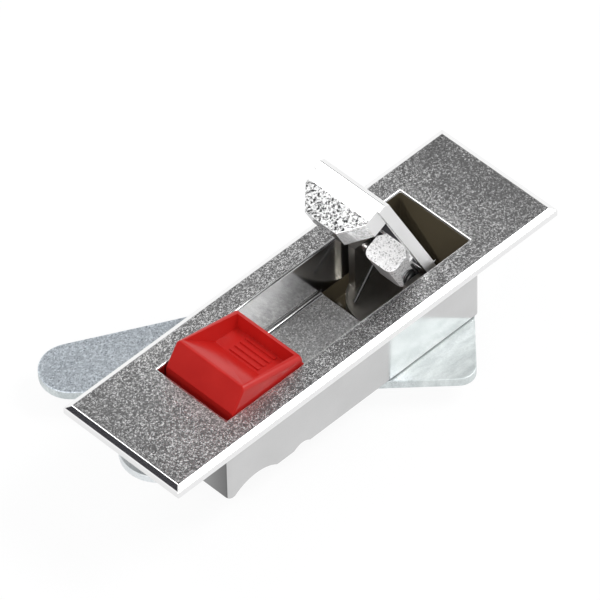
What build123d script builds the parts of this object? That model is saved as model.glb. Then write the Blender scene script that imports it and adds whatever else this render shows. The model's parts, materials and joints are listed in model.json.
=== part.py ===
"""Pushbutton cabinet lock: a flush plate with a rocking button, a pop-up turning handle and a flat tongue.

Millimetres. The origin is at the middle of the body's panel cut-out, on the flange face that seats
on the panel.
+X runs along the plate from the button to the handle's pivot, +Z out of the front.
At rest the handle stands up on its spring and isn't turned.
"""
import os
from math import atan2, cos, degrees, radians, sin, tan

from build123d import *

os.makedirs("parts", exist_ok=True)

# Plate and body casting
plate_length = 118.0
plate_width = 36.0
plate_offset = -0.55
lip_height = 1.8
bevel_height = 0.8
bevel_width = 1.4
plate_top = lip_height + bevel_height
slot_length = 75.3
slot_width = 21.5
slot_edge_chamfer = 0.35
body_wall = 1.65
body_depth = 21.1
body_corner_radius = 1.2
recess_floor_depth = 13.7
recess_floor_thickness = 2.0
recess_cove_radius = 1.2
bay_length = 25.0
bay_floor_z = -14.5
rotor_from_end = 13.59
pocket_reach = 11.6
pocket_floor_thickness = 4.0
arch_length = 13.0
arch_height = 2.3
arch_start = 1.8
small_arch_length = 4.8
small_arch_height = 1.0
small_arch_start = 20.2

# Clearances
running_gap = 0.05
side_gap = 0.3
seat_gap = 0.3

# Button
button_left_gap = 2.1
button_length = 22.4
button_shoulder_drop = 0.3
button_ridge_x = 3.7
button_ridge_height = 5.5
button_edge_height = 1.7
button_edge_inset = 0.9
button_depth = 9.0
button_nose_drop = 0.5
button_nose_thickness = 1.2
button_nose = 0.7
button_nose_width = 12.0
button_side_round = 1.2
button_edge_round = 0.5
button_land = 0.5
tray_rim = 1.1
tray_floor_depth = 1.7
tray_floor_rise = 0.6
tray_floor_length = 7.0
tray_wall_angle = 8.0
rib_count = 4
rib_pitch = 1.6
rib_width = 0.8
rib_height = 0.35
rib_length = 9.0
button_wall = 1.8
button_pocket_top = -3.0
button_hub_length = 5.0
button_pin_radius = 1.5
button_pin_inset = 3.2
button_pin_z = -6.6
button_pin_blind = 0.7
button_spring_wire = 0.7
button_spring_radius = 2.8
button_spring_turns = 5
button_spring_inset = 6.3
spring_boss_height = 1.0

# Handle, along its own length from the pivot (reach) and out from it (rise)
handle_lift_angle = 64.0
handle_pin_depth = 5.6
handle_pin_radius = 1.25
handle_plate_thickness = 3.0
handle_width = 20.0
handle_tip_gap = 0.71
handle_tail = 11.0
handle_tip_chamfer = 1.0
grip_length = 6.4
grip_width = 18.7
grip_side = 3.8
grip_depth = 9.2
grip_base_width = 9.6
lever_rim = 1.5
lever_hollow_depth = 1.7
lever_hollow_start = 3.0
lug_width = 9.2
lug_front = 5.3
lug_back = 3.5
lug_depth = 5.3
lug_corner_radius = 2.2
lug_shoulder = 1.6

# Rotor
rotor_radius = 10.4
rotor_disc_thickness = 3.6
ear_thickness = 2.0
ear_gap = 15.2
ear_front = 4.0
shank_radius = 6.0
square_side = 8.4
square_corner_chamfer = 0.6
friction_washer_thickness = 0.3
friction_washer_width = 1.3
seal_section_radius = 0.55
seal_height = 2.1
stop_pin_radius = 0.9
stop_pin_circle = 8.7
stop_pin_height = 1.4
stop_pin_embedded = 2.6
turn_range = 90.0
handle_spring_wire = 0.7
handle_spring_turns = 2
handle_spring_leg_angle = 45.0
handle_spring_upper_leg = 6.0

# Tongue and its fastening
tongue_thickness = 2.4
tongue_angle = 145.45
tongue_reach = 72.65
tongue_tip_radius = 7.55
tongue_corner_radius = 4.0
tongue_near_corner = (-11.9, 16.25)
tongue_far_corner = (-16.8, -12.6)
bolt_radius = 2.5
bolt_length = 10.0
bolt_head_flats = 8.0
bolt_head_height = 3.5
flat_washer_radius = 7.0
flat_washer_thickness = 1.0
spring_washer_width = 1.9
spring_washer_thickness = 1.2
spring_washer_split = 1.0

# Clamps that pull the flange against the panel
stud_inset = 1.0
clamp_radius = 8.9
clamp_thickness = 2.0
clamp_grip = 6.0
stud_radius = 2.0
stud_length = 15.6
stud_embedded = 1.6
stud_boss_radius = 4.0
stud_boss_height = 0.8
clamp_hole_gap = 0.25
nut_flats = 7.0
nut_height = 3.2

# Places that follow from the sizes above
slot_half = slot_length / 2
body_length = slot_length + 2 * body_wall
body_width = slot_width + 2 * body_wall
clamp_spacing = (body_length + plate_length) / 2 - 2 * stud_inset
recess_floor_z = plate_top - recess_floor_depth
rotor_x = slot_half - rotor_from_end
pocket_left = rotor_x - pocket_reach
pocket_floor_z = -body_depth + pocket_floor_thickness
bay_right = -slot_half + bay_length
button_half_width = slot_width / 2 - side_gap
button_left = -slot_half + button_left_gap
button_right = button_left + button_length
handle_reach = rotor_x - button_right - handle_tip_gap
button_pin_x = button_right - button_pin_inset
button_spring_x = button_left + button_spring_inset
handle_pin_z = plate_top - handle_pin_depth
disc_bottom_z = pocket_floor_z + friction_washer_thickness
disc_top_z = disc_bottom_z + rotor_disc_thickness
tongue_top_z = -body_depth - seat_gap
tongue_bottom_z = tongue_top_z - tongue_thickness

lift = radians(handle_lift_angle)
reach_dir = Vector(-cos(lift), 0, sin(lift))
rise_dir = Vector(sin(lift), 0, cos(lift))
handle_pivot = Vector(rotor_x, 0, handle_pin_z)
handle_side = Plane(origin=handle_pivot, x_dir=reach_dir, z_dir=(0, 1, 0))
plate_underside = handle_pin_depth - handle_plate_thickness


def arch_circle(length, height):
    """The radius of the circle that cuts an arch of this length and height into a straight edge."""
    return (length * length / 4 + height * height) / (2 * height)


# Housing: plate, bevelled rim, body box, recess, pockets and bores in one casting
with BuildPart() as housing:
    with BuildSketch():
        with Locations((plate_offset, 0)):
            Rectangle(plate_length, plate_width)
    extrude(amount=lip_height)
    with BuildSketch(Plane.XY.offset(lip_height)):
        with Locations((plate_offset, 0)):
            Rectangle(plate_length, plate_width)
    with BuildSketch(Plane.XY.offset(plate_top)):
        with Locations((plate_offset, 0)):
            Rectangle(plate_length - 2 * bevel_width, plate_width - 2 * bevel_width)
    loft()
    with BuildSketch():
        RectangleRounded(body_length, body_width, body_corner_radius)
    extrude(amount=-body_depth)
    with BuildSketch():
        with GridLocations(clamp_spacing, 0, 2, 1):
            Circle(stud_boss_radius)
    extrude(amount=-stud_boss_height)
    # recess, with a cove along the foot of its two long walls
    with BuildSketch(Plane.YZ.offset(-slot_half)):
        with Locations((0, (plate_top + recess_floor_z) / 2)):
            Rectangle(slot_width, recess_floor_depth)
        fillet(vertices().group_by(Axis.Y)[0], recess_cove_radius)
    extrude(amount=slot_length, mode=Mode.SUBTRACT)
    # deeper bay under the button
    with BuildSketch(Plane.XY.offset(bay_floor_z)):
        with Locations((-slot_half, 0)):
            Rectangle(bay_length, slot_width, align=(Align.MIN, Align.CENTER))
    extrude(amount=plate_top - bay_floor_z, mode=Mode.SUBTRACT)
    # pocket for the rotor
    with BuildSketch(Plane.XY.offset(pocket_floor_z)):
        with Locations((pocket_left, 0)):
            Rectangle(slot_half - pocket_left, slot_width, align=(Align.MIN, Align.CENTER))
    extrude(amount=plate_top - pocket_floor_z, mode=Mode.SUBTRACT)
    slot_edges = (
        edges()
        .filter_by_position(Axis.Z, plate_top - running_gap, plate_top + running_gap)
        .filter_by_position(Axis.X, -slot_half - running_gap, slot_half + running_gap)
        .filter_by_position(Axis.Y, -slot_width / 2 - running_gap, slot_width / 2 + running_gap)
    )
    chamfer(slot_edges, slot_edge_chamfer)
    # the casting is hollow from below, under the bay and under the recess
    with BuildSketch(Plane.XY.offset(-body_depth)):
        with Locations((-slot_half, 0)):
            Rectangle(
                slot_half + pocket_left - recess_floor_thickness, slot_width, align=(Align.MIN, Align.CENTER)
            )
    extrude(amount=body_depth + bay_floor_z - recess_floor_thickness, mode=Mode.SUBTRACT)
    with BuildSketch(Plane.XY.offset(-body_depth)):
        with Locations((bay_right + recess_floor_thickness, 0)):
            Rectangle(
                pocket_left - bay_right - 2 * recess_floor_thickness,
                slot_width,
                align=(Align.MIN, Align.CENTER),
            )
    extrude(amount=body_depth + recess_floor_z - recess_floor_thickness, mode=Mode.SUBTRACT)
    # arches in the lower edge of both long walls
    with BuildSketch(Plane.XZ):
        for start, length, height in (
            (arch_start, arch_length, arch_height),
            (small_arch_start, small_arch_length, small_arch_height),
        ):
            radius = arch_circle(length, height)
            with Locations((-body_length / 2 + start + length / 2, -body_depth - radius + height)):
                Circle(radius)
    extrude(amount=body_width, both=True, mode=Mode.SUBTRACT)
    # seat for the button's spring
    with BuildSketch(Plane.XY.offset(bay_floor_z)):
        with Locations((button_spring_x, 0)):
            Circle(button_spring_radius - button_spring_wire)
    extrude(amount=spring_boss_height)
    # bores: rotor shank, stop pin, button pin and the two studs
    with BuildSketch(Plane.XY.offset(pocket_floor_z)):
        with Locations((rotor_x, 0)):
            Circle(shank_radius + running_gap)
    extrude(amount=-pocket_floor_thickness, mode=Mode.SUBTRACT)
    with BuildSketch(Plane.XY.offset(pocket_floor_z)):
        with Locations((rotor_x, -stop_pin_circle)):
            Circle(stop_pin_radius)
    extrude(amount=-stop_pin_embedded, mode=Mode.SUBTRACT)
    with BuildSketch(Plane.XZ.offset(-body_width / 2)):
        with Locations((button_pin_x, button_pin_z)):
            Circle(button_pin_radius)
    extrude(amount=body_width - button_pin_blind, mode=Mode.SUBTRACT)
    with BuildSketch(Plane.XY.offset(-stud_boss_height)):
        with GridLocations(clamp_spacing, 0, 2, 1):
            Circle(stud_radius)
    extrude(amount=stud_boss_height + stud_embedded, mode=Mode.SUBTRACT)
housing.part.label = "housing"
export_step(housing.part, "parts/housing.step")

# Button: a moulded rocker with a deep thumb tray on top, hollow below for its spring
button_face = button_right - button_nose
nose_top = plate_top - button_nose_drop
nose_bottom = nose_top - button_nose_thickness
ridge = (button_left + button_ridge_x, plate_top + button_ridge_height)
edge = (button_right - button_edge_inset, plate_top + button_edge_height)
tray_floor_z = plate_top - tray_floor_depth
tray_wall_run = (edge[1] - tray_floor_z) * tan(radians(tray_wall_angle))
tray_right = edge[0] - tray_rim - tray_wall_run
fold = (tray_right - tray_floor_length, tray_floor_z + tray_floor_rise)

# The tray: a floor that rises gently to a fold, then a ramp up to the ridge, between leaning walls
with BuildPart() as tray:
    with BuildSketch(Plane.XY.offset(ridge[1])):
        with Locations(((ridge[0] + edge[0]) / 2, 0)):
            Rectangle(
                edge[0] - ridge[0] + 2 * (ridge[1] - edge[1]) * tan(radians(tray_wall_angle)) - 2 * tray_rim,
                2 * (button_half_width - tray_rim),
            )
    extrude(amount=-(ridge[1] - tray_floor_z), taper=tray_wall_angle)
    with BuildSketch(Plane.XZ):
        with BuildLine():
            Polyline(
                (ridge[0] + button_land, ridge[1]),
                fold,
                (tray_right, tray_floor_z),
                (edge[0], tray_floor_z),
                (edge[0], ridge[1]),
                close=True,
            )
        make_face()
    extrude(amount=button_half_width, both=True, mode=Mode.INTERSECT)

with BuildPart() as button:
    with BuildSketch(Plane.XZ):
        with BuildLine():
            Polyline(
                (button_left, -button_depth),
                (button_left, plate_top - button_shoulder_drop),
                ridge,
                edge,
                (edge[0], nose_top),
                (button_face, nose_top),
                (button_face, -button_depth),
                close=True,
            )
        make_face()
    extrude(amount=button_half_width, both=True)
    top_sides = (
        edges()
        .filter_by(lambda e: abs(e.center().X - (ridge[0] + edge[0]) / 2) < button_nose)
        .filter_by(lambda e: e.center().Z > plate_top)
    )
    fillet(top_sides, button_side_round)
    top_ends = (
        edges()
        .filter_by_position(Axis.X, ridge[0] - running_gap, edge[0] + running_gap)
        .filter_by(Axis.Y)
        .filter_by(lambda e: e.center().Z > edge[1] - running_gap)
    )
    fillet(top_ends, button_edge_round)
    # latch nose in the middle of the right side
    with BuildSketch(Plane.XZ):
        with BuildLine():
            Polyline(
                (edge[0] - button_nose, nose_top),
                (button_right, nose_top),
                (button_right, nose_bottom),
                (button_face, nose_bottom - button_nose),
                (edge[0] - button_nose, nose_bottom - button_nose),
                close=True,
            )
        make_face()
    extrude(amount=button_nose_width / 2, both=True)
    add(tray.part, mode=Mode.SUBTRACT)
    # plain raised ribs where a word would be
    rib_mid = (fold[0] + tray_right) / 2
    floor_slope = tray_floor_rise / tray_floor_length
    with BuildSketch(Plane.XZ):
        for k in range(rib_count):
            x = rib_mid + (k - (rib_count - 1) / 2) * rib_pitch
            floor = tray_floor_z + (tray_right - x) * floor_slope
            with Locations((x, floor)):
                Rectangle(rib_width, 2 * rib_height, rotation=-degrees(atan2(floor_slope, 1)))
    extrude(amount=rib_length / 2, both=True)
    # hollow for the spring
    hollow_right = button_right - button_nose - button_hub_length
    with BuildSketch(Plane.XY.offset(-button_depth)):
        with Locations((button_left + button_wall, 0)):
            Rectangle(
                hollow_right - button_left - button_wall,
                2 * (button_half_width - button_wall),
                align=(Align.MIN, Align.CENTER),
            )
    extrude(amount=button_depth + button_pocket_top, mode=Mode.SUBTRACT)
    # pin bore
    with BuildSketch(Plane.XZ.offset(-button_half_width)):
        with Locations((button_pin_x, button_pin_z)):
            Circle(button_pin_radius + running_gap)
    extrude(amount=2 * button_half_width, mode=Mode.SUBTRACT)
button.part.label = "button"
export_step(button.part, "parts/button.step")

with BuildPart() as button_pin:
    with BuildSketch(Plane.XZ.offset(-body_width / 2)):
        with Locations((button_pin_x, button_pin_z)):
            Circle(button_pin_radius)
    extrude(amount=body_width - button_pin_blind)
button_pin.part.label = "button_pin"
export_step(button_pin.part, "parts/button_pin.step")

# Button spring: a short compression coil between the bay floor and the hollow's roof
coil_bottom = bay_floor_z + button_spring_wire / 2
coil_height = button_pocket_top - bay_floor_z - button_spring_wire
with BuildPart() as button_spring:
    with BuildLine():
        Helix(
            pitch=coil_height / button_spring_turns,
            height=coil_height,
            radius=button_spring_radius,
            center=(button_spring_x, 0, coil_bottom),
        )
    with BuildSketch(Plane(origin=(button_spring_x + button_spring_radius, 0, coil_bottom), z_dir=(0, 1, 0))):
        Circle(button_spring_wire / 2)
    sweep(is_frenet=True)
button_spring.part.label = "button_spring"
export_step(button_spring.part, "parts/button_spring.step")

# Handle: a flat lever with a six-sided finger grip at its tip and a hinge lug at its root
grip_root = handle_pivot + reach_dir * (handle_reach - grip_length)
grip_section = Plane(origin=grip_root, x_dir=(0, -1, 0), z_dir=reach_dir)
lug_root = handle_pivot - reach_dir * lug_back
lug_section = Plane(origin=lug_root, x_dir=(0, -1, 0), z_dir=reach_dir)
hollow_root = handle_pivot + reach_dir * lever_hollow_start
hollow_section = Plane(origin=hollow_root, x_dir=(0, -1, 0), z_dir=reach_dir)
hollow_top = plate_underside + lever_hollow_depth
clear_above = plate_top + seat_gap
handle_room = handle_reach + handle_tail
with BuildPart() as handle:
    with BuildSketch(handle_side):
        with BuildLine():
            Polyline(
                (-handle_tail, plate_underside),
                (-handle_tail, handle_pin_depth),
                (handle_reach - handle_tip_chamfer, handle_pin_depth),
                (handle_reach, handle_pin_depth - handle_tip_chamfer),
                (handle_reach, plate_underside),
                close=True,
            )
        make_face()
    extrude(amount=handle_width / 2, both=True)
    with BuildSketch(grip_section):
        with BuildLine():
            Polyline(
                (-grip_width / 2, plate_underside),
                (-grip_width / 2, plate_underside - grip_side),
                (-grip_base_width / 2, plate_underside - grip_depth),
                (grip_base_width / 2, plate_underside - grip_depth),
                (grip_width / 2, plate_underside - grip_side),
                (grip_width / 2, plate_underside),
                close=True,
            )
        make_face()
    extrude(amount=grip_length)
    # the lever is hollow from below, between its rims
    with BuildSketch(hollow_section):
        with Locations((0, plate_underside)):
            Rectangle(handle_width - 2 * lever_rim, lever_hollow_depth, align=(Align.CENTER, Align.MIN))
    extrude(amount=handle_reach - grip_length - lever_hollow_start, mode=Mode.SUBTRACT)
    with BuildSketch(lug_section):
        with BuildLine():
            Polyline(
                (lug_shoulder - lug_width / 2, hollow_top),
                (-lug_width / 2, plate_underside),
                (-lug_width / 2, plate_underside - lug_depth),
                (lug_width / 2, plate_underside - lug_depth),
                (lug_width / 2, plate_underside),
                (lug_width / 2 - lug_shoulder, hollow_top),
                close=True,
            )
        make_face()
        fillet(vertices().group_by(Axis.Y)[0], lug_corner_radius)
    extrude(amount=lug_front + lug_back)
    # below the plate's face the handle stays inside the rotor's round, so that it can turn
    with BuildSketch(Plane.XY.offset(-body_depth)):
        with Locations((rotor_x, 0)):
            Rectangle(2 * handle_room, 2 * handle_room)
            Circle(rotor_radius, mode=Mode.SUBTRACT)
    extrude(amount=body_depth + clear_above, mode=Mode.SUBTRACT)
    with BuildSketch(handle_side):
        Circle(handle_pin_radius + running_gap)
    extrude(amount=lug_width, both=True, mode=Mode.SUBTRACT)
handle.part.label = "handle"
export_step(handle.part, "parts/handle.step")

with BuildPart() as handle_pin:
    with BuildSketch(Plane.XZ.offset(-ear_gap / 2 - ear_thickness)):
        with Locations((rotor_x, handle_pin_z)):
            Circle(handle_pin_radius)
    extrude(amount=ear_gap + 2 * ear_thickness)
handle_pin.part.label = "handle_pin"
export_step(handle_pin.part, "parts/handle_pin.step")

# Rotor: disc and two raked ears above the floor, sealed shank and square end below it
stop_line = plate_underside - seat_gap
ear_foot_x = (stop_line - (disc_top_z - handle_pin_z) * cos(lift)) / sin(lift)
square_bottom_z = tongue_bottom_z + seat_gap
stop_slot_width = 2 * (stop_pin_radius + side_gap)
with BuildPart() as rotor:
    with BuildSketch(Plane.XY.offset(disc_bottom_z)):
        with Locations((rotor_x, 0)):
            Circle(rotor_radius - running_gap)
    extrude(amount=rotor_disc_thickness)
    # ears: the sloping edge is the stop that the raised handle leans on
    with BuildSketch(Plane.XZ):
        with BuildLine():
            crown = CenterArc((rotor_x, handle_pin_z), stop_line, 90 - handle_lift_angle, handle_lift_angle)
            Polyline(
                crown @ 1,
                (rotor_x - ear_front, handle_pin_z + stop_line),
                (rotor_x - ear_front, disc_top_z),
                (rotor_x + ear_foot_x, disc_top_z),
                crown @ 0,
            )
        make_face()
    extrude(amount=ear_gap / 2 + ear_thickness, both=True)
    with BuildSketch(Plane.XZ):
        with Locations((rotor_x, (plate_top + disc_top_z) / 2)):
            Rectangle(4 * rotor_radius, plate_top - disc_top_z)
    extrude(amount=ear_gap / 2, both=True, mode=Mode.SUBTRACT)
    with BuildSketch(Plane.XY.offset(disc_top_z)):
        with Locations((rotor_x, 0)):
            Rectangle(4 * rotor_radius, 4 * rotor_radius)
            Circle(rotor_radius - running_gap, mode=Mode.SUBTRACT)
    extrude(amount=plate_top - disc_top_z, mode=Mode.SUBTRACT)
    # shank
    with BuildSketch(Plane.XY.offset(disc_bottom_z)):
        with Locations((rotor_x, 0)):
            Circle(shank_radius)
    extrude(amount=tongue_top_z - disc_bottom_z)
    with BuildSketch(Plane.XY.offset(tongue_top_z)):
        with Locations((rotor_x, 0)):
            Rectangle(square_side, square_side)
            chamfer(vertices(), square_corner_chamfer)
    extrude(amount=square_bottom_z - tongue_top_z)
    # groove for the seal
    with BuildSketch(Plane.XY.offset(-body_depth + seal_height - seal_section_radius)):
        with Locations((rotor_x, 0)):
            Circle(shank_radius + running_gap)
            Circle(shank_radius - 2 * seal_section_radius, mode=Mode.SUBTRACT)
    extrude(amount=2 * seal_section_radius, mode=Mode.SUBTRACT)
    # arc groove that the stop pin runs in
    with BuildSketch(Plane.XY.offset(disc_bottom_z)):
        with Locations((rotor_x, 0)):
            SlotArc(CenterArc((0, 0), stop_pin_circle, -90 - turn_range, turn_range), stop_slot_width)
    extrude(amount=stop_pin_height + side_gap, mode=Mode.SUBTRACT)
    # handle pin and tongue bolt bores
    with BuildSketch(Plane.XZ.offset(-rotor_radius)):
        with Locations((rotor_x, handle_pin_z)):
            Circle(handle_pin_radius)
    extrude(amount=2 * rotor_radius, mode=Mode.SUBTRACT)
    with BuildSketch(Plane.XY.offset(square_bottom_z)):
        with Locations((rotor_x, 0)):
            Circle(bolt_radius + running_gap)
    extrude(amount=bolt_length - seat_gap, mode=Mode.SUBTRACT)
rotor.part.label = "rotor"
export_step(rotor.part, "parts/rotor.step")

# Handle spring: a torsion coil on the pin at each side of the lug. The lower leg bears on the disc,
# the upper one under the handle.
coil_radius = handle_pin_radius + 2 * running_gap + handle_spring_wire / 2
coil_outer_y = ear_gap / 2 - side_gap - handle_spring_wire / 2
coil_inner_y = lug_width / 2 + side_gap + handle_spring_wire / 2
coil_turns = handle_spring_turns + (handle_spring_leg_angle + 90 - handle_lift_angle) / 360
coil_drop = handle_pin_z - disc_top_z - handle_spring_wire / 2
leg_angle = radians(handle_spring_leg_angle)
lower_leg = (coil_drop - coil_radius * sin(leg_angle)) / cos(leg_angle)
coil = Helix(
    pitch=(coil_outer_y - coil_inner_y) / coil_turns,
    height=coil_outer_y - coil_inner_y,
    radius=coil_radius,
    center=(rotor_x, coil_inner_y, handle_pin_z),
    direction=(0, 1, 0),
    lefthand=True,
).rotate(Axis((rotor_x, 0, handle_pin_z), (0, 1, 0)), 90 + handle_spring_leg_angle)
with BuildPart() as handle_spring:
    with BuildLine():
        add(coil)
    with BuildSketch(Plane(origin=coil @ 0, z_dir=coil % 0)):
        Circle(handle_spring_wire / 2)
    sweep(is_frenet=True)
    with BuildSketch(Plane(origin=coil @ 0, z_dir=coil % 0)):
        Circle(handle_spring_wire / 2)
    extrude(amount=-lower_leg)
    with BuildSketch(Plane(origin=coil @ 1, z_dir=coil % 1)):
        Circle(handle_spring_wire / 2)
    extrude(amount=handle_spring_upper_leg)
    mirror(about=Plane.XZ)
handle_spring.part.label = "handle_spring"
export_step(handle_spring.part, "parts/handle_spring.step")

with BuildPart() as friction_washer:
    with BuildSketch(Plane.XY.offset(pocket_floor_z)):
        with Locations((rotor_x, 0)):
            Circle(shank_radius + running_gap + friction_washer_width)
            Circle(shank_radius + running_gap, mode=Mode.SUBTRACT)
    extrude(amount=friction_washer_thickness)
friction_washer.part.label = "friction_washer"
export_step(friction_washer.part, "parts/friction_washer.step")

with BuildPart() as seal_ring:
    with BuildSketch(Plane.XZ):
        with Locations((rotor_x + shank_radius - seal_section_radius, -body_depth + seal_height)):
            Circle(seal_section_radius)
    revolve(axis=Axis((rotor_x, 0, 0), (0, 0, 1)))
seal_ring.part.label = "seal_ring"
export_step(seal_ring.part, "parts/seal_ring.step")

with BuildPart() as stop_pin:
    with BuildSketch(Plane.XY.offset(pocket_floor_z - stop_pin_embedded)):
        with Locations((rotor_x, -stop_pin_circle)):
            Circle(stop_pin_radius)
    extrude(amount=stop_pin_embedded + friction_washer_thickness + stop_pin_height)
stop_pin.part.label = "stop_pin"
export_step(stop_pin.part, "parts/stop_pin.step")

# Tongue: a flat tapered bar with a round tip and a wide back end with rounded corners
tongue_plane = Plane(
    origin=(rotor_x, 0, tongue_bottom_z),
    x_dir=(cos(radians(tongue_angle)), sin(radians(tongue_angle)), 0),
    z_dir=(0, 0, 1),
)
with BuildPart() as tongue:
    with BuildSketch(tongue_plane):
        with Locations((tongue_reach, 0)):
            Circle(tongue_tip_radius)
        with Locations(tongue_near_corner, tongue_far_corner):
            Circle(tongue_corner_radius)
        make_hull()
        with Locations(Location((0, 0), -tongue_angle)):
            Rectangle(square_side + 2 * running_gap, square_side + 2 * running_gap, mode=Mode.SUBTRACT)
    extrude(amount=tongue_thickness)
tongue.part.label = "tongue"
export_step(tongue.part, "parts/tongue.step")

# Washers and bolt below the tongue
with BuildPart() as flat_washer:
    with BuildSketch(Plane.XY.offset(tongue_bottom_z)):
        with Locations((rotor_x, 0)):
            Circle(flat_washer_radius)
            Circle(bolt_radius + running_gap, mode=Mode.SUBTRACT)
    extrude(amount=-flat_washer_thickness)
flat_washer.part.label = "flat_washer"
export_step(flat_washer.part, "parts/flat_washer.step")

spring_washer_top = tongue_bottom_z - flat_washer_thickness
with BuildPart() as spring_washer:
    with BuildSketch(Plane.XY.offset(spring_washer_top)):
        with Locations((rotor_x, 0)):
            Circle(bolt_radius + running_gap + spring_washer_width)
            Circle(bolt_radius + running_gap, mode=Mode.SUBTRACT)
        with Locations((rotor_x, -bolt_radius - spring_washer_width)):
            Rectangle(spring_washer_split, 2 * bolt_radius, mode=Mode.SUBTRACT)
    extrude(amount=-spring_washer_thickness)
spring_washer.part.label = "spring_washer"
export_step(spring_washer.part, "parts/spring_washer.step")

bolt_seat_z = spring_washer_top - spring_washer_thickness
with BuildPart() as tongue_bolt:
    with BuildSketch(Plane.XY.offset(bolt_seat_z)):
        with Locations((rotor_x, 0)):
            Circle(bolt_radius)
    extrude(amount=bolt_length)
    with BuildSketch(Plane.XY.offset(bolt_seat_z)):
        with Locations((rotor_x, 0)):
            RegularPolygon(bolt_head_flats / 2, 6, major_radius=False)
    extrude(amount=-bolt_head_height)
tongue_bolt.part.label = "tongue_bolt"
export_step(tongue_bolt.part, "parts/tongue_bolt.step")

# Clamps: at each end a fixed stud, a round-ended plate and the nut that draws it up to the panel
clamp_bottom_z = -clamp_grip - clamp_thickness
for side_name, side in (("left", -1), ("right", 1)):
    stud_x = side * clamp_spacing / 2
    clamp_inner = clamp_spacing / 2 - body_length / 2 - side_gap
    with BuildPart() as stud:
        with BuildSketch(Plane.XY.offset(stud_embedded)):
            with Locations((stud_x, 0)):
                Circle(stud_radius)
        extrude(amount=-stud_length)
    stud.part.label = f"clamp_stud_{side_name}"
    export_step(stud.part, f"parts/clamp_stud_{side_name}.step")

    with BuildPart() as clamp:
        with BuildSketch(Plane.XY.offset(clamp_bottom_z)):
            with Locations((stud_x, 0)):
                Circle(clamp_radius)
            with Locations((stud_x - side * clamp_inner / 2, 0)):
                Rectangle(clamp_inner, 2 * clamp_radius)
            with Locations((stud_x - side * (clamp_inner + clamp_radius), 0)):
                Rectangle(2 * clamp_radius, 2 * clamp_radius, mode=Mode.SUBTRACT)
            with Locations((stud_x, 0)):
                Circle(stud_radius + clamp_hole_gap, mode=Mode.SUBTRACT)
        extrude(amount=clamp_thickness)
    clamp.part.label = f"clamp_{side_name}"
    export_step(clamp.part, f"parts/clamp_{side_name}.step")

    with BuildPart() as nut:
        with BuildSketch(Plane.XY.offset(clamp_bottom_z)):
            with Locations((stud_x, 0)):
                RegularPolygon(nut_flats / 2, 6, major_radius=False)
                Circle(stud_radius + running_gap, mode=Mode.SUBTRACT)
        extrude(amount=-nut_height)
    nut.part.label = f"clamp_nut_{side_name}"
    export_step(nut.part, f"parts/clamp_nut_{side_name}.step")
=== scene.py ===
"""Pushbutton cabinet lock: materials, edges, springs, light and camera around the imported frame.

+X runs along the plate from the button to the handle's pivot, +Y across the plate and +Z out of its face.
The origin is where the flange seats on the panel. Lengths are in metres. Materials follow places on the part
through object coordinates, which are the frame's own.
"""
import json
from math import cos, radians, sin

import bmesh
import bpy
from mathutils import Matrix, Vector


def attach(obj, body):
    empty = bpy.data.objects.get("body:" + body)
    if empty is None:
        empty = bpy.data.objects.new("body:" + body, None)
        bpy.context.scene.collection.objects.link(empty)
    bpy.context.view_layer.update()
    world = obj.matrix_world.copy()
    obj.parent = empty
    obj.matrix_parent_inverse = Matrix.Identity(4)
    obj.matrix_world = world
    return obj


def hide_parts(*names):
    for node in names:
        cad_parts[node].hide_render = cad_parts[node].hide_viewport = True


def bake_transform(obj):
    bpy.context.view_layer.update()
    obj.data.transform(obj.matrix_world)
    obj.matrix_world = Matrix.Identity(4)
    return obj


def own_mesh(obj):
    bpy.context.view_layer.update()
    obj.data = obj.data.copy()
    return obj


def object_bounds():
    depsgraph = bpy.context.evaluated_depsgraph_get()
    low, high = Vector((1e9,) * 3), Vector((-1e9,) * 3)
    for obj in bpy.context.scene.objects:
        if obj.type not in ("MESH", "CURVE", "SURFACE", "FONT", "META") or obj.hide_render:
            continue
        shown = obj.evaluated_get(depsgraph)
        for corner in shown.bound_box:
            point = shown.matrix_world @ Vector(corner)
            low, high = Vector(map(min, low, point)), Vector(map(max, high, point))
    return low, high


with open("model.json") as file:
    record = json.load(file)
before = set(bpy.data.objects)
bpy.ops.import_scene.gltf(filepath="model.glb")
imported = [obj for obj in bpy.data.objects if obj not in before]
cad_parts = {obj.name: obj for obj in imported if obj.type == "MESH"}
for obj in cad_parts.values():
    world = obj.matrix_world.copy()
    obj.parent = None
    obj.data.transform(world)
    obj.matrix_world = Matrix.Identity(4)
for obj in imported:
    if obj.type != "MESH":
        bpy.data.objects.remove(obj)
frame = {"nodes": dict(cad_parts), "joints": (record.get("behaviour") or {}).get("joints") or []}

cad_box = [list(corner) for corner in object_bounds()]
nodes = frame["nodes"]
scene = bpy.context.scene
MM = 0.001

# Places on the part: the frame's own where it has them, and limits of finishes, a little clear of the faces
lift_joint = next(joint for joint in frame["joints"] if joint["name"] == "handle_lift")
PIVOT_X, _, PIVOT_Z = lift_joint["pos_m"]
LIFT = radians(-lift_joint["range_deg"][0])
LUG_FRONT = Vector((21, -1, 1)) * MM
PLATE_TOP_Z = max(corner[2] for corner in nodes["housing"].bound_box)
RECESS_FLOOR_Z = PLATE_TOP_Z - 13.7 * MM
POCKET_LEFT_X, SHADED_WALL_X, SLOT_RIGHT_X = 12.2 * MM, 26.0 * MM, 37.8 * MM
SLOT_HALF_WIDTH = 11.0 * MM
RIM_HALF_LENGTH, RIM_HALF_WIDTH = 41 * MM, 11.5 * MM
BODY_LEFT_X, BODY_HALF_WIDTH = -38.5 * MM, 12 * MM

# Camera, solved from the plate's corners in the photograph
AZIMUTH, ELEVATION, ROLL = radians(-44.105), radians(46.944), radians(-1.236)
DISTANCE = 1.8164
FOCAL_PX, CENTRE_PX = 8260.8, (312.887, 305.352)
FRAME_PX, SENSOR_MM = 600, 36.0
AIM = Vector((-0.55, 0.0, 2.6)) * MM

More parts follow.
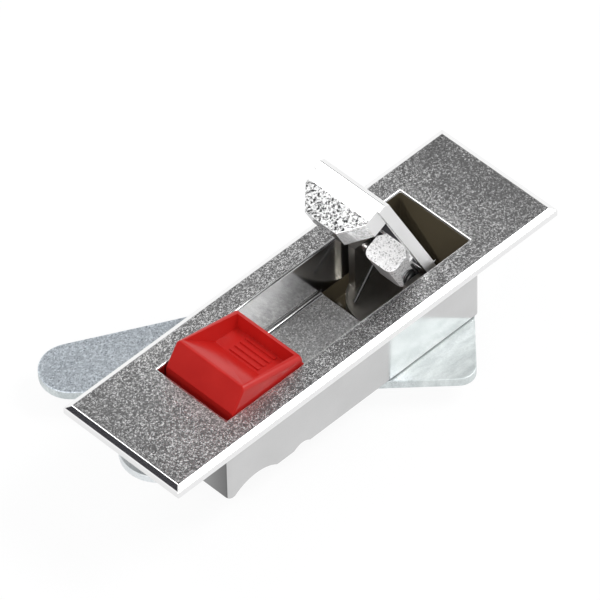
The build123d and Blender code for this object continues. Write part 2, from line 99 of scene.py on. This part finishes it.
toward = Vector((sin(AZIMUTH) * cos(ELEVATION), -cos(AZIMUTH) * cos(ELEVATION), sin(ELEVATION)))
right = (-toward).cross(Vector((0, 0, 1))).normalized()
up = right.cross(-toward)
right, up = cos(ROLL) * right + sin(ROLL) * up, cos(ROLL) * up - sin(ROLL) * right
camera = bpy.data.objects.new("camera", bpy.data.cameras.new("camera"))
scene.collection.objects.link(camera)
turn = Matrix((right, up, toward)).transposed().to_4x4()
camera.matrix_world = Matrix.Translation(AIM + toward * DISTANCE) @ turn
camera.data.sensor_width = SENSOR_MM
camera.data.lens = FOCAL_PX * SENSOR_MM / FRAME_PX
camera.data.shift_x = -(CENTRE_PX[0] - FRAME_PX / 2) / FRAME_PX
camera.data.shift_y = (CENTRE_PX[1] - FRAME_PX / 2) / FRAME_PX
camera.data.clip_end = 100
scene.camera = camera
scene.view_settings.view_transform = "Standard"


# Node helpers
class Shader:
    """A node material, with short calls for its nodes. A mask is 1 where it holds and 0 elsewhere."""

    def __init__(self, name):
        self.mat = bpy.data.materials.new(name)
        self.mat.use_nodes = True
        self.tree = self.mat.node_tree
        self.tree.nodes.clear()
        self.out = self.add("ShaderNodeOutputMaterial")
        self.place = self.add("ShaderNodeTexCoord")

    def add(self, kind, **fields):
        node = self.tree.nodes.new(kind)
        for key, value in fields.items():
            setattr(node, key, value)
        return node

    def put(self, socket, value):
        """Links a socket to the input, or sets a constant on it."""
        if isinstance(value, bpy.types.NodeSocket):
            self.tree.links.new(value, socket)
        elif isinstance(value, (tuple, list)) and len(value) == 3 and socket.type == "RGBA":
            socket.default_value = (*value, 1)
        elif socket.type == "RGBA":
            socket.default_value = (value, value, value, 1)
        else:
            socket.default_value = value

    def math(self, op, a, b=0.0, c=0.0, clamp=False):
        node = self.add("ShaderNodeMath", operation=op, use_clamp=clamp)
        for socket, value in zip(node.inputs, (a, b, c)):
            self.put(socket, value)
        return node.outputs[0]

    def scale_add(self, value, factor, offset):
        return self.math("MULTIPLY_ADD", value, factor, offset)

    def share(self, value, start, end):
        """How far the value has come from start to end, from 0 to 1."""
        return self.math("MULTIPLY_ADD", value, 1 / (end - start), -start / (end - start), clamp=True)

    def above(self, value, limit):
        return self.math("GREATER_THAN", value, limit)

    def below(self, value, limit):
        return self.math("LESS_THAN", value, limit)

    def between(self, value, low, high):
        return self.all_of(self.above(value, low), self.below(value, high))

    def within(self, value, limit):
        """Mask of where the value is nearer to 0 than the limit, on either side."""
        return self.below(self.math("ABSOLUTE", value), limit)

    def beyond(self, value, limit):
        """Mask of where the value is further from 0 than the limit, on either side."""
        return self.above(self.math("ABSOLUTE", value), limit)

    def all_of(self, first, *masks):
        for mask in masks:
            first = self.math("MULTIPLY", first, mask)
        return first

    def any_of(self, first, second):
        return self.math("MAXIMUM", first, second)

    def xyz(self, output="Object"):
        node = self.add("ShaderNodeSeparateXYZ")
        self.put(node.inputs[0], self.place.outputs[output])
        return node.outputs

    def facing(self, direction):
        """How far the surface faces a direction in the XZ plane: 1 straight at it, -1 straight away."""
        node = self.add("ShaderNodeVectorMath", operation="DOT_PRODUCT")
        self.put(node.inputs[0], self.place.outputs["Normal"])
        node.inputs[1].default_value = (direction[0], 0, direction[1])
        return node.outputs["Value"]

    def noise(self, scale, detail=3.0, rough=0.5, stretch=None):
        node = self.add("ShaderNodeTexNoise")
        vector = self.place.outputs["Object"]
        if stretch:
            mapping = self.add("ShaderNodeMapping")
            self.put(mapping.inputs["Vector"], vector)
            mapping.inputs["Scale"].default_value = stretch
            vector = mapping.outputs[0]
        self.put(node.inputs["Vector"], vector)
        node.inputs["Scale"].default_value = scale
        node.inputs["Detail"].default_value = detail
        node.inputs["Roughness"].default_value = rough
        return node.outputs["Fac"]

    def cell_tone(self, scale):
        """One tone from 0 to 1 for each cell of a Voronoi pattern."""
        cells = self.add("ShaderNodeTexVoronoi")
        self.put(cells.inputs["Vector"], self.place.outputs["Object"])
        cells.inputs["Scale"].default_value = scale
        tone = self.add("ShaderNodeSeparateColor")
        self.put(tone.inputs[0], cells.outputs["Color"])
        return tone.outputs[0]

    def ramp(self, value, *stops):
        node = self.add("ShaderNodeValToRGB")
        self.put(node.inputs[0], value)
        ramp = node.color_ramp
        while len(ramp.elements) < len(stops):
            ramp.elements.new(0.5)
        for element, (at, colour) in zip(ramp.elements, stops):
            element.position = at
            element.color = (*colour, 1) if isinstance(colour, tuple) else (colour, colour, colour, 1)
        return node.outputs[0]

    def mix(self, factor, a, b):
        node = self.add("ShaderNodeMix", data_type="RGBA")
        self.put(node.inputs[0], factor)
        self.put(node.inputs[6], a)
        self.put(node.inputs[7], b)
        return node.outputs[2]

    def bump(self, height, strength, distance):
        node = self.add("ShaderNodeBump")
        self.put(node.inputs["Height"], height)
        self.put(node.inputs["Strength"], strength)
        node.inputs["Distance"].default_value = distance
        return node.outputs[0]

    def surface(self, **inputs):
        node = self.add("ShaderNodeBsdfPrincipled")
        for key, value in inputs.items():
            self.put(node.inputs[key.replace("_", " ")], value)
        self.put(self.out.inputs["Surface"], node.outputs[0])
        return self.mat


# Finishes
def sparkle(s, low, mid, high, size, dark=0.1, drift=0.0):
    """Cast grain: broken bright ridges and dark pits of one size, in a slow change of tone.

    low, mid and high are the colours of pits, ground and ridges. A higher dark widens the pits, and drift
    lightens the whole. Returns (colour, height).
    """
    ridge_sharpness = 9.0
    slow_scale, slow_share = 90, 0.25
    pit_slope, ridge_start, ridge_full = 0.3, 0.62, 0.82
    grain = s.noise(0.75 / size, rough=0.6)
    off_centre = s.math("ABSOLUTE", s.math("SUBTRACT", grain, 0.5))
    ridge = s.math("SUBTRACT", 1.0, s.math("MULTIPLY", off_centre, ridge_sharpness), clamp=True)
    value = s.scale_add(s.math("ADD", ridge, s.cell_tone(1 / size)), 0.5, drift)
    slow = s.math("SUBTRACT", s.noise(slow_scale, detail=2.0), 0.5)
    value = s.math("ADD", value, s.math("MULTIPLY", slow, slow_share))
    colour = s.ramp(value, (dark, low), (dark + pit_slope, mid), (ridge_start, mid), (ridge_full, high))
    return colour, value


def housing_material():
    """Grained top and recess floor, polished rim and walls, and painted shade, near black and not metallic,
    deep down round the rotor.
    """
    s = Shader("housing_plated")
    x, y, z = s.xyz()
    facing_x, facing_y, facing_z = s.xyz("Normal")

    # Grained faces: the plate's top and the recess floor
    level = s.above(facing_z, 0.99)
    top = s.all_of(level, s.above(z, PLATE_TOP_Z - 0.1 * MM))
    floor = s.all_of(level, s.within(s.math("SUBTRACT", z, RECESS_FLOOR_Z), 0.3 * MM))
    grained = s.any_of(top, floor)
    # The top is darker to the right, and towards both ends from 40 mm out
    drift = s.scale_add(x, -0.03 / (50 * MM), 0.055)
    drift = s.scale_add(s.share(s.math("ABSOLUTE", x), 40 * MM, 54 * MM), -0.1, drift)
    top_colour, top_height = sparkle(s, low=0.1, mid=0.23, high=0.9, size=0.32 * MM, drift=drift)
    floor_colour = sparkle(s, low=0.3, mid=0.53, high=1.0, size=0.4 * MM)[0]

    # Pocket: all that lies below the recess floor, and the slot's walls over the pocket's right part,
    # painted near black and not metallic as painted shade
    deep = s.all_of(s.below(z, RECESS_FLOOR_Z - 0.4 * MM), s.above(x, POCKET_LEFT_X))
    shaded_wall = s.all_of(s.below(z, PLATE_TOP_Z - 0.4 * MM), s.above(x, SHADED_WALL_X))
    pocket_shade = s.all_of(s.any_of(deep, shaded_wall), s.within(y, SLOT_HALF_WIDTH), s.below(x, SLOT_RIGHT_X))

    # Rim: the polished lip and bevel round the plate
    outside = s.any_of(s.beyond(y, RIM_HALF_WIDTH), s.beyond(x, RIM_HALF_LENGTH))
    rim = s.all_of(outside, s.above(z, 0.02 * MM))

    # Left end of the body, under the flange: painted shade, darker towards its near side
    end = s.all_of(s.below(facing_x, -0.9), s.below(x, BODY_LEFT_X), s.below(z, -0.5 * MM))
    end_shade_tone = s.ramp(s.share(y, BODY_HALF_WIDTH, -BODY_HALF_WIDTH), (0.0, 0.5), (0.55, 0.42), (1.0, 0.17))

    # Chamfer along the slot's near edge: a painted highlight, light in colour and a little matt, so that it
    # shows as a light line
    chamfer = s.all_of(s.above(facing_y, 0.5), s.above(facing_z, 0.3))
    near_edge_highlight = s.all_of(chamfer, s.above(z, PLATE_TOP_Z - 0.6 * MM), s.below(y, 0.0))

    walls = s.ramp(s.noise(60), (0.3, 0.6), (0.7, 0.66))
    base = s.mix(top, s.mix(rim, walls, 0.88), top_colour)
    base = s.mix(floor, base, floor_colour)
    # Painted shade: the pocket is near black
    base = s.mix(pocket_shade, base, (0.075, 0.062, 0.04))
    base = s.mix(end, base, end_shade_tone)
    base = s.mix(near_edge_highlight, base, 0.95)
    rough = s.scale_add(grained, 0.14, s.scale_add(rim, -0.08, 0.14))
    rough = s.scale_add(near_edge_highlight, 0.5, rough)
    height, strength = s.mix(grained, 0.5, top_height), s.math("MULTIPLY", grained, 0.5)
    normal = s.bump(height, strength, distance=0.1 * MM)
    # No metal where shade is painted in the pocket, so it reflects nothing bright
    metallic = s.math("SUBTRACT", 1.0, pocket_shade)
    return s.surface(Base_Color=base, Metallic=metallic, Roughness=rough, Normal=normal)


def handle_material():
    """Bright plating: speckled grain on the grip's tip, fine grain on the lug, polished elsewhere. Painted
    shade darkens the lever's hollowed part, the face beneath the lever, and its sides.

    reach is the distance from the pivot along the raised lever, and rise the height over the pivot towards
    the lever's outer face.
    """
    s = Shader("handle_plated")
    along, out = (-cos(LIFT), sin(LIFT)), (sin(LIFT), cos(LIFT))
    grip_reach, grip_rise = 20 * MM, -0.1 * MM
    lug_reach, lug_rise, lug_half_width = 6.0 * MM, 4.4 * MM, 4.8 * MM
    hollow_reach, hollow_rise, hollow_half_width = (5.4 * MM, 30.3 * MM), (2.7 * MM, 4.45 * MM), 8.6 * MM
    x, y, z = s.xyz()

    def distance(direction):
        offset = -PIVOT_X * direction[0] - PIVOT_Z * direction[1]
        return s.scale_add(x, direction[0], s.scale_add(z, direction[1], offset))

    reach, rise = distance(along), distance(out)
    tip = s.all_of(s.above(s.facing(along), 0.95), s.below(rise, grip_rise), s.above(reach, grip_reach))
    lug = s.all_of(s.below(reach, lug_reach), s.below(rise, lug_rise), s.within(y, lug_half_width))
    # Painted shade: the hollowed part under the lever is near black, not metallic and less glossy
    hollow_shade = s.all_of(s.between(reach, *hollow_reach), s.between(rise, *hollow_rise))
    hollow_shade = s.all_of(hollow_shade, s.within(y, hollow_half_width))
    # Painted shade: the lever's underside is mixed towards a darker grey
    underside_shade = s.below(s.facing(out), -0.9)
    # Painted shade: the lever's sides, facing across the plate, are mixed a quarter of the way to a darker
    # grey
    side = s.beyond(s.xyz("Normal")[1], 0.9)
    grained = s.any_of(tip, lug)

    tip_colour, tip_height = sparkle(s, low=0.02, mid=0.75, high=0.98, size=0.55 * MM, dark=0.27)
    lug_colour = sparkle(s, low=0.42, mid=0.97, high=1.0, size=0.42 * MM, dark=0.15)[0]
    polished = s.ramp(s.noise(60), (0.3, 0.86), (0.7, 0.92))
    base = s.mix(lug, s.mix(tip, polished, tip_colour), lug_colour)
    base = s.mix(hollow_shade, s.mix(underside_shade, base, 0.4), (0.05, 0.05, 0.055))
    base = s.mix(s.math("MULTIPLY", side, 0.25), base, 0.5)
    rough = s.any_of(s.scale_add(grained, 0.22, s.scale_add(side, 0.3, 0.12)), hollow_shade)
    metallic = s.math("SUBTRACT", s.scale_add(tip, -0.35, 1.0), s.math("MULTIPLY", lug, 0.8))
    metallic = s.math("SUBTRACT", metallic, hollow_shade, clamp=True)
    gloss = s.scale_add(hollow_shade, -0.45, 0.5)
    height, strength = s.mix(grained, 0.5, tip_height), s.math("MULTIPLY", grained, 0.6)
    normal = s.bump(height, strength, distance=0.12 * MM)
    return s.surface(
        Base_Color=base, Metallic=metallic, Roughness=rough, Specular_IOR_Level=gloss, Normal=normal
    )


def button_material():
    """Gloss moulded plastic with a faint moulding texture; its steep left face gets less gloss as painted
    shade.
    """
    s = Shader("button_gloss")
    base = s.ramp(s.noise(180), (0.3, (0.58, 0.017, 0.014)), (0.7, (0.64, 0.023, 0.018)))
    normal = s.bump(s.noise(900, detail=2.0), strength=0.06, distance=0.1 * MM)
    # Painted shade: less gloss on the steep left face darkens it
    shaded_left_face = s.below(s.xyz("Normal")[0], -0.3)
    gloss = s.scale_add(shaded_left_face, -0.3, 0.4)
    return s.surface(Base_Color=base, Roughness=0.3, Specular_IOR_Level=gloss, Normal=normal)


def tongue_material():
    """Zinc plated sheet: grained towards the tip, smoother towards the square hole and on the cut edges."""
    s = Shader("tongue_zinc")
    pits, ground, ridges = (0.28, 0.32, 0.365), (0.57, 0.62, 0.667), (0.86, 0.92, 0.97)
    colour, height = sparkle(s, pits, ground, ridges, size=0.4 * MM)
    streaks = s.noise(160, detail=4.0, rough=0.6, stretch=(1, 3, 1))
    plain = s.ramp(streaks, (0.35, (0.63, 0.68, 0.67)), (0.65, (0.85, 0.9, 0.885)))
    worn = s.share(s.xyz()[0], 2 * MM, 16 * MM)
    edge = s.within(s.xyz("Normal")[2], 0.5)
    smoothness = s.any_of(s.math("MULTIPLY", worn, 0.85), s.math("MULTIPLY", edge, 0.7))
    base = s.mix(smoothness, colour, plain)
    normal = s.bump(height, s.scale_add(smoothness, -0.4, 0.4), distance=0.05 * MM)
    metallic = s.scale_add(smoothness, -0.25, 0.85)
    rough = s.scale_add(smoothness, 0.16, 0.38)
    return s.surface(Base_Color=base, Metallic=metallic, Roughness=rough, Normal=normal)


def sheet_material(name, low, high, grain, strength, rough, metallic):
    """Zinc plated sheet or turned steel, with a fine grain between two colours."""
    s = Shader(name)
    mid = tuple((a + b) / 2 for a, b in zip(low, high))
    colour, height = sparkle(s, low, mid, high, size=grain)
    normal = s.bump(height, strength, distance=0.05 * MM)
    return s.surface(Base_Color=colour, Metallic=metallic, Roughness=rough, Normal=normal)


def plain_material(name, colour, rough, metallic=0.0):
    """Small pieces, most of them hidden: one colour with a slight change of tone."""
    s = Shader(name)
    darker, lighter = tuple(c * 0.85 for c in colour), tuple(min(1, c * 1.1) for c in colour)
    base = s.mix(s.noise(400), darker, lighter)
    normal = s.bump(s.noise(1500, detail=2.0), strength=0.15, distance=0.05 * MM)
    return s.surface(Base_Color=base, Metallic=metallic, Roughness=rough, Normal=normal)


steel = plain_material("ground_steel", (0.62, 0.62, 0.64), rough=0.22, metallic=1.0)
spring = plain_material("spring_wire", (0.06, 0.06, 0.06), rough=0.5, metallic=1.0)
zinc = sheet_material(
    "fastener_zinc", (0.45, 0.48, 0.5), (0.7, 0.74, 0.76),
    grain=0.4 * MM, strength=0.2, rough=0.32, metallic=0.85,
)
clamp = sheet_material(
    "clamp_zinc", (0.8, 0.84, 0.86), (0.94, 0.97, 0.98),
    grain=0.5 * MM, strength=0.1, rough=0.3, metallic=0.5,
)
finishes = {
    "housing": housing_material(),
    "handle": handle_material(),
    "button": button_material(),
    "rotor": plain_material("rotor_cast", (0.28, 0.27, 0.25), rough=0.35, metallic=1.0),
    "tongue": tongue_material(),
    "clamp_left": clamp,
    "clamp_right": clamp,
    "handle_spring": spring,
    "button_spring": spring,
    "button_pin": steel,
    "handle_pin": steel,
    "stop_pin": steel,
    "friction_washer": plain_material("washer_plastic", (0.8, 0.79, 0.72), rough=0.5),
    "seal_ring": plain_material("seal_rubber", (0.02, 0.02, 0.02), rough=0.6),
}
for name, obj in nodes.items():
    for slot in obj.material_slots:
        slot.material = finishes.get(name, zinc)


# Edges: each solid is welded and its curves shade smoothly; those in ROUNDING_MM also have their flat faces
# joined up and their corners rounded
def smooth_group(angle):
    """Modifier nodes that shade smoothly, but keep edges sharper than the angle."""
    group = bpy.data.node_groups.new("smooth_by_angle", "GeometryNodeTree")
    group.interface.new_socket("Geometry", in_out="INPUT", socket_type="NodeSocketGeometry")
    group.interface.new_socket("Geometry", in_out="OUTPUT", socket_type="NodeSocketGeometry")
    start, end = group.nodes.new("NodeGroupInput"), group.nodes.new("NodeGroupOutput")
    faces, edges = (group.nodes.new("GeometryNodeSetShadeSmooth") for _ in range(2))
    faces.domain, edges.domain = "FACE", "EDGE"
    edges.inputs["Shade Smooth"].default_value = False
    bend = group.nodes.new("GeometryNodeInputMeshEdgeAngle")
    sharp = group.nodes.new("FunctionNodeCompare")
    sharp.data_type, sharp.operation = "FLOAT", "GREATER_THAN"
    sharp.inputs["B"].default_value = angle
    link = group.links.new
    link(start.outputs[0], faces.inputs["Geometry"])
    link(faces.outputs[0], edges.inputs["Geometry"])
    link(bend.outputs["Unsigned Angle"], sharp.inputs["A"])
    link(sharp.outputs[0], edges.inputs["Selection"])
    link(edges.outputs[0], end.inputs[0])
    return group


WELD_DISTANCE = 0.0005 * MM
FLAT_ANGLE, SMOOTH_ANGLE, CORNER_ANGLE = radians(0.5), radians(32), radians(28)
ROUNDING_MM = {
    "button": 0.2, "housing": 0.25, "handle": 0.2, "tongue": 0.3, "clamp_left": 0.25, "clamp_right": 0.25,
}
smooth = smooth_group(SMOOTH_ANGLE)
for name, obj in nodes.items():
    mesh = obj.data
    if "custom_normal" in mesh.attributes:
        mesh.attributes.remove(mesh.attributes["custom_normal"])
    weld = obj.modifiers.new("weld", "WELD")
    weld.merge_threshold = WELD_DISTANCE
    if name in ROUNDING_MM:
        flat = obj.modifiers.new("flat", "DECIMATE")
        flat.decimate_type = "DISSOLVE"
        flat.angle_limit = FLAT_ANGLE
    obj.modifiers.new("shade", "NODES").node_group = smooth
    if name in ROUNDING_MM:
        edge = obj.modifiers.new("edge", "BEVEL")
        edge.width = ROUNDING_MM[name] * MM
        edge.segments = 3
        edge.use_clamp_overlap = name == "button"
        edge.limit_method = "ANGLE"
        edge.angle_limit = CORNER_ANGLE
        edge.harden_normals = True


# Springs: copies of the rigid CAD springs, which hide the originals; the handle's spring is split into two
# halves
def spring_copy(name, node, side=0):
    """A spring's mesh as the CAD has it, or its half at one side of the XZ plane."""
    work = bmesh.new()
    work.from_mesh(nodes[node].data)
    bmesh.ops.remove_doubles(work, verts=work.verts, dist=WELD_DISTANCE)
    bmesh.ops.delete(work, geom=[v for v in work.verts if v.co.y * side < 0], context="VERTS")
    mesh = bpy.data.meshes.new(name)
    work.to_mesh(mesh)
    work.free()
    mesh.materials.append(spring)
    piece = bpy.data.objects.new(name, mesh)
    scene.collection.objects.link(piece)
    piece.modifiers.new("shade", "NODES").node_group = smooth
    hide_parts(node)
    return piece


for name, side in (("handle_spring_far", 1), ("handle_spring_near", -1)):
    piece = spring_copy(name, "handle_spring", side)
    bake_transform(piece)
piece = spring_copy("button_spring_coil", "button_spring")
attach(piece, "housing")
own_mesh(piece)


# Floor, and dark cards for the plating to reflect
def card(name, centre, size, material, facing=None):
    """A flat rectangle that isn't part of the object, level or turned to face a point."""
    mesh = bpy.data.meshes.new(name)
    w, h = size[0] / 2, size[1] / 2
    mesh.from_pydata([(-w, -h, 0), (w, -h, 0), (w, h, 0), (-w, h, 0)], [], [(0, 1, 2, 3)])
    mesh.materials.append(material)
    obj = bpy.data.objects.new(name, mesh)
    scene.collection.objects.link(obj)
    obj.location = centre
    if facing is not None:
        obj.rotation_euler = (Vector(facing) - Vector(centre)).to_track_quat("Z", "Y").to_euler()
    return obj


def seen_white(tree, camera_share, gloss_share):
    """How much of the plain white a ray sees: a share for the camera, one for gloss, none for the rest."""
    path = tree.nodes.new("ShaderNodeLightPath")

    def math(op, a, b):
        node = tree.nodes.new("ShaderNodeMath")
        node.operation = op
        for socket, value in zip(node.inputs, (a, b)):
            if isinstance(value, float):
                socket.default_value = value
            else:
                tree.links.new(value, socket)
        return node.outputs[0]

    gloss = math("MAXIMUM", path.outputs["Is Glossy Ray"], path.outputs["Is Transmission Ray"])
    camera_part = math("MULTIPLY", path.outputs["Is Camera Ray"], camera_share)
    return math("MAXIMUM", camera_part, math("MULTIPLY", gloss, gloss_share))


FLOOR_SIZE, FLOOR_GAP = (30, 30), 0.2 * MM
FLOOR_GREY, FLOOR_GLOW, FLOOR_SEEN = (0.85, 0.85, 0.85, 1), 1.04, 0.88
# What gloss sees of the floor's white rises with the distance from the origin, in metres
FLOOR_REFLECTED = (0.1, 0.62), (0.3, 1.0)
floor_shader = Shader("floor_white")
diffuse = floor_shader.add("ShaderNodeBsdfDiffuse")
diffuse.inputs[0].default_value = FLOOR_GREY
glow = floor_shader.add("ShaderNodeEmission")
glow.inputs[1].default_value = FLOOR_GLOW
both = floor_shader.add("ShaderNodeMixShader")
far = floor_shader.add("ShaderNodeVectorMath", operation="LENGTH")
floor_shader.put(far.inputs[0], floor_shader.place.outputs["Object"])
gloss_share = floor_shader.ramp(far.outputs["Value"], *FLOOR_REFLECTED)
floor_shader.put(both.inputs[0], seen_white(floor_shader.tree, FLOOR_SEEN, gloss_share))
floor_shader.put(both.inputs[1], diffuse.outputs[0])
floor_shader.put(both.inputs[2], glow.outputs[0])
floor_shader.put(floor_shader.out.inputs["Surface"], both.outputs[0])
card("floor", (0, 0, cad_box[0][2] - FLOOR_GAP), FLOOR_SIZE, floor_shader.mat)

black = Shader("card_black")
dark = black.add("ShaderNodeEmission")
dark.inputs[0].default_value = (0.05, 0.048, 0.055, 1)
black.put(black.out.inputs["Surface"], dark.outputs[0])
for name, centre, size in (
    ("card_behind", (0.55, 0.5, 0.78), (0.7, 0.5)),
    ("card_left", (-0.44, 0.54, 0.86), (0.2, 0.2)),
):
    obj = card(name, centre, size, black.mat, facing=(0, 0, 0))
    obj.visible_camera = False
    obj.visible_diffuse = False
    obj.visible_shadow = False


# Lamps: three softboxes, and a narrow spot on the handle's lug
def lamp(name, kind, place, power, target=(0, 0, 0)):
    light = bpy.data.lights.new(name, kind)
    light.energy = power
    obj = bpy.data.objects.new(name, light)
    scene.collection.objects.link(obj)
    obj.location = place
    obj.rotation_euler = (Vector(target) - obj.location).to_track_quat("-Z", "Y").to_euler()
    return light


snoot = lamp("snoot", "SPOT", (-0.62, -0.55, 0.85), 40, target=LUG_FRONT)
snoot.spot_size = radians(1.7)
snoot.shadow_soft_size = 0.008
for name, place, size, power in (
    ("softbox_front", (0.62, -0.5, 1.04), 0.55, 6.5),
    ("softbox_left", (-1.1, -0.5, 0.9), 0.6, 3.5),
    ("softbox_behind", (-0.18, 0.6, 1.02), 0.42, 1.5),
):
    softbox = lamp(name, "AREA", place, power)
    softbox.shape = "SQUARE"
    softbox.size = size

# World: plain white where the camera and gloss see it, and an even grey light elsewhere
world = bpy.data.worlds.new("studio")
scene.world = world
world.use_nodes = True
tree = world.node_tree
tree.nodes.clear()
back, ambient = tree.nodes.new("ShaderNodeBackground"), tree.nodes.new("ShaderNodeBackground")
back.inputs[0].default_value = (1, 1, 1, 1)
ambient.inputs[0].default_value = (0.5, 0.5, 0.51, 1)
pick = tree.nodes.new("ShaderNodeMixShader")
tree.links.new(seen_white(tree, 1.0, 1.0), pick.inputs[0])
tree.links.new(ambient.outputs[0], pick.inputs[1])
tree.links.new(back.outputs[0], pick.inputs[2])
tree.links.new(pick.outputs[0], tree.nodes.new("ShaderNodeOutputWorld").inputs[0])

bpy.context.view_layer.update()
